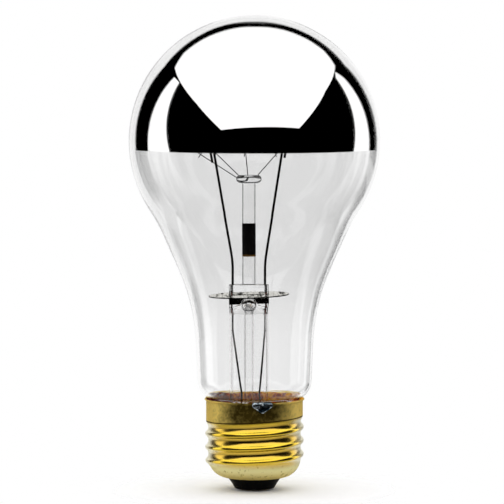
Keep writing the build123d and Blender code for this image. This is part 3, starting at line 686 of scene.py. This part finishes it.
cement_a = np.linspace(0.0, 2 * pi, 360, endpoint=False)[None, :]
lumps = 0.16 * np.sin(5 * cement_a + 1.0) + 0.12 * np.sin(11 * cement_a + 0.4)
lumps = lumps + 0.1 * np.sin(23 * cement_a + 2.0) + 0.07 * np.sin(41 * cement_a)
lumps = lumps + 0.05 * np.sin(67 * cement_a + 1.3)
swell = cement_rise - cement_tilt * np.sin(cement_a) + cement_lump * lumps
cement_top = cap_rim_z + np.clip(swell, cement_least, cement_most)
up = np.linspace(0.0, 1.0, 24)[:, None]
wall_z = cement_foot + up * (cement_top - cement_foot)
outer_r = collar_r - cap_sheet - cement_gap
outer_r = outer_r + (lip_r - collar_r) * np.clip((wall_z - cap_rim_z + lip_h) / lip_h, 0.0, 1.0) ** 2
inner_r = skirt_radius(wall_z) + cement_gap
across = np.linspace(0.0, 1.0, 8)[1:-1, None]
top_r = outer_r[-1:] + across * (inner_r[-1:] - outer_r[-1:])
crumbs = np.sin(29 * cement_a + 9 * across) * np.sin(47 * cement_a - 6 * across)
top_z = cement_top + 0.12 * np.sin(pi * across) * crumbs
cement_r = np.concatenate((outer_r[::-1], inner_r, top_r[::-1], outer_r[-1:]))
cement_z = np.concatenate((wall_z[::-1], wall_z, top_z[::-1], wall_z[-1:]))
cement_ring = mesh_over("cement_ring", turned(cement_r, cement_z, cement_a))
cement, tree, shader = new_material("basing cement")
set_values(shader, {"Roughness": 0.9, "Specular IOR Level": 0.1})
place = add_node(tree, "ShaderNodeTexCoord")
split = add_node(tree, "ShaderNodeSeparateXYZ")
mottle = add_node(tree, "ShaderNodeTexNoise", values={"Scale": 420.0, "Detail": 5.0, "Roughness": 0.7})
turned_away = calc(tree, "MULTIPLY_ADD", {1: 0.7})
baked = calc(tree, "MULTIPLY_ADD", {1: 10.0})
tones = add_node(tree, "ShaderNodeValToRGB")
tones.color_ramp.elements[0].position = 0.46
tones.color_ramp.elements[0].color = (0.09, 0.005, 0.001, 1)
tones.color_ramp.elements[1].position = 0.70
tones.color_ramp.elements[1].color = (1.0, 0.46, 0.02, 1)
tones.color_ramp.elements.new(0.56).color = (0.50, 0.08, 0.005, 1)
bump = add_node(tree, "ShaderNodeBump", values={"Strength": 0.7, "Distance": 0.0006})
tree.links.new(place.outputs["Object"], mottle.inputs["Vector"])
tree.links.new(place.outputs["Object"], split.inputs[0])
tree.links.new(split.outputs["Y"], turned_away.inputs[0])
tree.links.new(split.outputs["X"], turned_away.inputs[2])
tree.links.new(turned_away.outputs[0], baked.inputs[0])
tree.links.new(mottle.outputs["Fac"], baked.inputs[2])
tree.links.new(baked.outputs[0], tones.inputs[0])
tree.links.new(tones.outputs[0], shader.inputs["Base Color"])
tree.links.new(mottle.outputs["Fac"], bump.inputs["Height"])
tree.links.new(bump.outputs["Normal"], shader.inputs["Normal"])
cement_ring.data.materials.append(cement)
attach(cement_ring, "root")
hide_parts("basing_cement")

# Floor
# A pale round table that fades out into the white studio, so that only its contact shadow shows. It can't be
# seen from below.
floor_r, floor_rings = 520.0, 24
shadow_near, shadow_far = 0.012, 0.05
floor_outline = np.column_stack((np.linspace(0.0, floor_r, floor_rings), np.zeros(floor_rings)))
floor = lathe("floor", floor_outline, 96)
table, tree, shader = new_material("pale table")
set_values(shader, {"Base Color": (0.98, 0.98, 0.98, 1), "Roughness": 1.0, "Specular IOR Level": 0.0})
place = add_node(tree, "ShaderNodeTexCoord")
reach = calc_vector(tree, "LENGTH")
fade = soft_ramp(tree, shadow_near, shadow_far)
under = add_node(tree, "ShaderNodeNewGeometry")
gone = calc(tree, "MAXIMUM")
clear = add_node(tree, "ShaderNodeBsdfTransparent")
choose = add_node(tree, "ShaderNodeMixShader")
tree.links.new(place.outputs["Object"], reach.inputs[0])
tree.links.new(reach.outputs["Value"], fade.inputs[0])
tree.links.new(fade.outputs[0], gone.inputs[0])
tree.links.new(under.outputs["Backfacing"], gone.inputs[1])
tree.links.new(gone.outputs[0], choose.inputs[0])
tree.links.new(shader.outputs[0], choose.inputs[1])
tree.links.new(clear.outputs[0], choose.inputs[2])
tree.links.new(choose.outputs[0], tree.nodes["Material Output"].inputs["Surface"])
floor.data.materials.append(table)

# Studio cards
# One large overhead softbox, a tall card on each side, the lit backdrop and three low fills, each a flat
# sheet that glows white. The camera doesn't see them. The room between them is dark, which draws the black
# bands in the mirror.
look_down = radians(2.1)
card_reach, softbox_slope = 0.5, 0.304


def card_corner(right, up, near):
    """Place of a card's corner, in units of card_reach from the crown's centre along the camera's line."""
    back = -near * cos(look_down) + up * sin(look_down)
    rise = up * cos(look_down) + near * sin(look_down)
    return (card_reach * right, card_reach * back, card_reach * rise + 0.001 * crown_z)


def softbox_corner(right, near):
    """Corner of the overhead softbox, which slopes down towards the camera."""
    return (right, 1.0 - softbox_slope * (near + 0.9), near)


softbox_front = [softbox_corner(-0.86, 1.46), softbox_corner(1.15, 1.31), softbox_corner(0.985, 0.1)]
softbox_back = [softbox_corner(1.05, -0.84), softbox_corner(0.8, -1.0), softbox_corner(0.0, -0.72)]
softbox_left = [softbox_corner(-0.8, -0.91), softbox_corner(-1.02, -0.7), softbox_corner(-0.89, 0.5)]
cards = {
    "softbox": softbox_front + softbox_back + softbox_left,
    "left_card": [(-1.0, -0.9, 0.34), (-1.0, 0.78, -0.14), (-1.0, 0.8, -0.39), (-1.0, -0.9, -0.48)],
    "right_card": [
        (1.0, -0.9, -0.05), (1.0, 0.78, -0.4), (1.0, 0.86, -0.56), (1.0, 0.7, -0.67), (1.0, -0.9, -1.0),
    ],
    "table_right": [(0.55, -0.14, -1.0), (1.0, -0.14, -0.88), (1.0, -0.27, -0.9), (0.54, -0.27, -1.0)],
    "low_left": [(-1.0, -0.44, -0.42), (-0.9, -0.44, -1.0), (-0.9, -0.9, -1.0), (-1.0, -0.9, -0.48)],
    "low_right": [(0.54, -0.44, -1.0), (1.0, -0.44, -0.82), (1.0, -0.9, -1.0), (0.5, -0.9, -1.0)],
    "backdrop": [
        (-0.9, -0.9, -1.0), (0.5, -0.9, -1.0), (0.56, 0.0, -1.0), (0.65, 0.3, -1.0), (0.71, 0.6, -1.0),
        (0.28, 0.77, -1.0), (0.0, 0.82, -1.0), (-0.43, 0.755, -1.0), (-0.79, 0.66, -1.0),
    ],
}


def glow_material(name, low, high, low_strength, high_strength):
    """White light, as diffused by a softbox's cloth, which changes strength between two heights in metres."""
    material = bpy.data.materials.new(name)
    material.use_nodes = True
    tree = material.node_tree
    tree.nodes.remove(tree.nodes["Principled BSDF"])
    place = add_node(tree, "ShaderNodeTexCoord")
    split = add_node(tree, "ShaderNodeSeparateXYZ")
    fade = soft_ramp(tree, low, high, low_strength, high_strength)
    lamp = add_node(tree, "ShaderNodeEmission", values={"Color": (1, 1, 1, 1)})
    tree.links.new(place.outputs["Object"], split.inputs[0])
    tree.links.new(split.outputs["Z"], fade.inputs[0])
    tree.links.new(fade.outputs[0], lamp.inputs["Strength"])
    tree.links.new(lamp.outputs[0], tree.nodes["Material Output"].inputs["Surface"])
    return material


glow_low, glow_high = -0.32, 0.05
card_glow = glow_material("card glow", glow_low, glow_high, low_strength=0.19, high_strength=1.25)
low_glow = glow_material("low glow", -0.27, -0.13, low_strength=0.9, high_strength=0.0)
glows = {
    "backdrop": glow_material("backdrop glow", glow_low, glow_high, low_strength=0.97, high_strength=0.97),
    "table_right": glow_material("table glow", glow_low, glow_high, low_strength=0.45, high_strength=0.45),
    "low_left": low_glow,
    "low_right": low_glow,
}
for name, corners in cards.items():
    mesh = bpy.data.meshes.new(name)
    mesh.from_pydata([card_corner(*corner) for corner in corners], [], [tuple(range(len(corners)))])
    mesh.materials.append(glows.get(name, card_glow))
    card = bpy.data.objects.new(name, mesh)
    bpy.context.scene.collection.objects.link(card)
    card.visible_camera = False

# Room light
# White to the eye and through clear glass, even and soft on the object, and dark in whatever mirrors it.
room = bpy.data.worlds.new("studio room")
room.use_nodes = True
bpy.context.scene.world = room
tree = room.node_tree
ray = add_node(tree, "ShaderNodeLightPath")
mirrored = calc(tree, "GREATER_THAN", {1: 0.5})
level = add_node(tree, "ShaderNodeMix", {"data_type": "FLOAT"}, {2: 1.0, 3: 0.0})
tree.links.new(ray.outputs["Glossy Depth"], mirrored.inputs[0])
tree.links.new(mirrored.outputs[0], level.inputs[0])
tree.links.new(level.outputs[0], tree.nodes["Background"].inputs["Strength"])
tree.nodes["Background"].inputs["Color"].default_value = (1, 1, 1, 1)
bpy.context.scene.view_settings.view_transform = "Standard"
bpy.context.scene.cycles.max_bounces = 32
bpy.context.scene.cycles.transmission_bounces = 32
bpy.context.scene.cycles.glossy_bounces = 8

# Camera
# A long lens a little above the crown, tilted down, as the photograph was taken.
lens = bpy.data.cameras.new("camera")
lens.lens = 252.6
lens.sensor_width = 36.0
lens.clip_start = 0.05
lens.clip_end = 20.0
camera = bpy.data.objects.new("camera", lens)
camera.location = (-0.00066, -0.938, 0.1268)
camera.rotation_euler = (radians(90 - 3.86), 0, 0)
bpy.context.scene.collection.objects.link(camera)
bpy.context.scene.camera = camera
